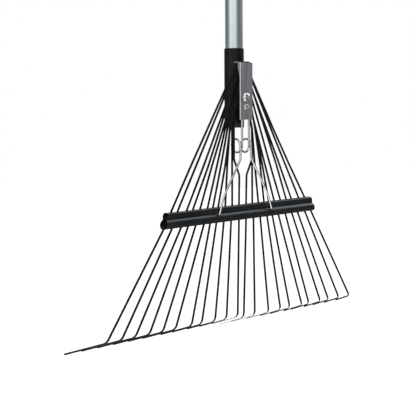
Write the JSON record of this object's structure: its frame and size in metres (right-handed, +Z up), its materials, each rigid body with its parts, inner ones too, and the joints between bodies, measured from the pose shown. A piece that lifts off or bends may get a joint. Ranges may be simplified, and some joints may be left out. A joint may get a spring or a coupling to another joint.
{
  "type": "leaf rake",
  "caption": "Leaf rake with a fan of flat black spring tines, a pressed crossbar, a coiled wire brace clamped to the ferrule and a long aluminium handle.",
  "frame": {"origin": "centre of the hang hole in the handle's end cap", "axes": "+Z up along the handle, so the head hangs below; +X along the crossbar; -Y is the side of the wire brace, and the tine tips bend towards +Y"},
  "size_m": [0.6257, 0.0778, 1.7523],
  "materials": {
    "handle_aluminium": "satin anodised tube",
    "grip_foam": "closed-cell foam sleeve",
    "cap_plastic": "moulded black plastic",
    "ferrule_black": "black powder coat",
    "plug_plastic": "moulded black plastic",
    "bracket_zinc": "zinc plated, lightly brushed",
    "plate_black": "black painted bar",
    "fastener_zinc": "bright zinc",
    "brace_wire": "bright zinc-plated spring wire",
    "crossbar_black": "glossy black enamel on pressed sheet",
    "tine_black": "semi-gloss black enamel on spring steel"
  },
  "bodies": {
    "handle": {"handle_tube": "handle_aluminium", "grip": "grip_foam", "end_cap": "cap_plastic", "ferrule": "ferrule_black", "ferrule_plug": "plug_plastic", "brace_bracket": "bracket_zinc", "clamp_plate": "plate_black", "clamp_bolt": "fastener_zinc", "clamp_washer": "fastener_zinc", "clamp_nut": "fastener_zinc", "tube_rivet": "fastener_zinc", "spring_brace": "brace_wire"},
    "fan": {"crossbar_front": "crossbar_black", "crossbar_rear": "crossbar_black", "crossbar_rivets": "crossbar_black", "tine_01": "tine_black", "tine_02": "tine_black", "tine_03": "tine_black", "tine_04": "tine_black", "tine_05": "tine_black", "tine_06": "tine_black", "tine_07": "tine_black", "tine_08": "tine_black", "tine_09": "tine_black", "tine_10": "tine_black", "tine_11": "tine_black", "tine_12": "tine_black", "tine_13": "tine_black", "tine_14": "tine_black", "tine_15": "tine_black", "tine_16": "tine_black", "tine_17": "tine_black", "tine_18": "tine_black", "tine_19": "tine_black", "tine_20": "tine_black", "tine_21": "tine_black", "tine_22": "tine_black"}
  },
  "joints": [
    {"name": "fan_flex", "type": "hinge", "parent": "handle", "child": "fan", "pos_m": [0, -0.0185, -1.39], "axis": [1, 0, 0], "range_deg": [-6, 2], "stiffness_Nm_per_rad": 45, "deforming": ["tine_01", "tine_02", "tine_03", "tine_04", "tine_05", "tine_06", "tine_07", "tine_08", "tine_09", "tine_10", "tine_11", "tine_12", "tine_13", "tine_14", "tine_15", "tine_16", "tine_17", "tine_18", "tine_19", "tine_20", "tine_21", "tine_22", "spring_brace"]}
  ]
}
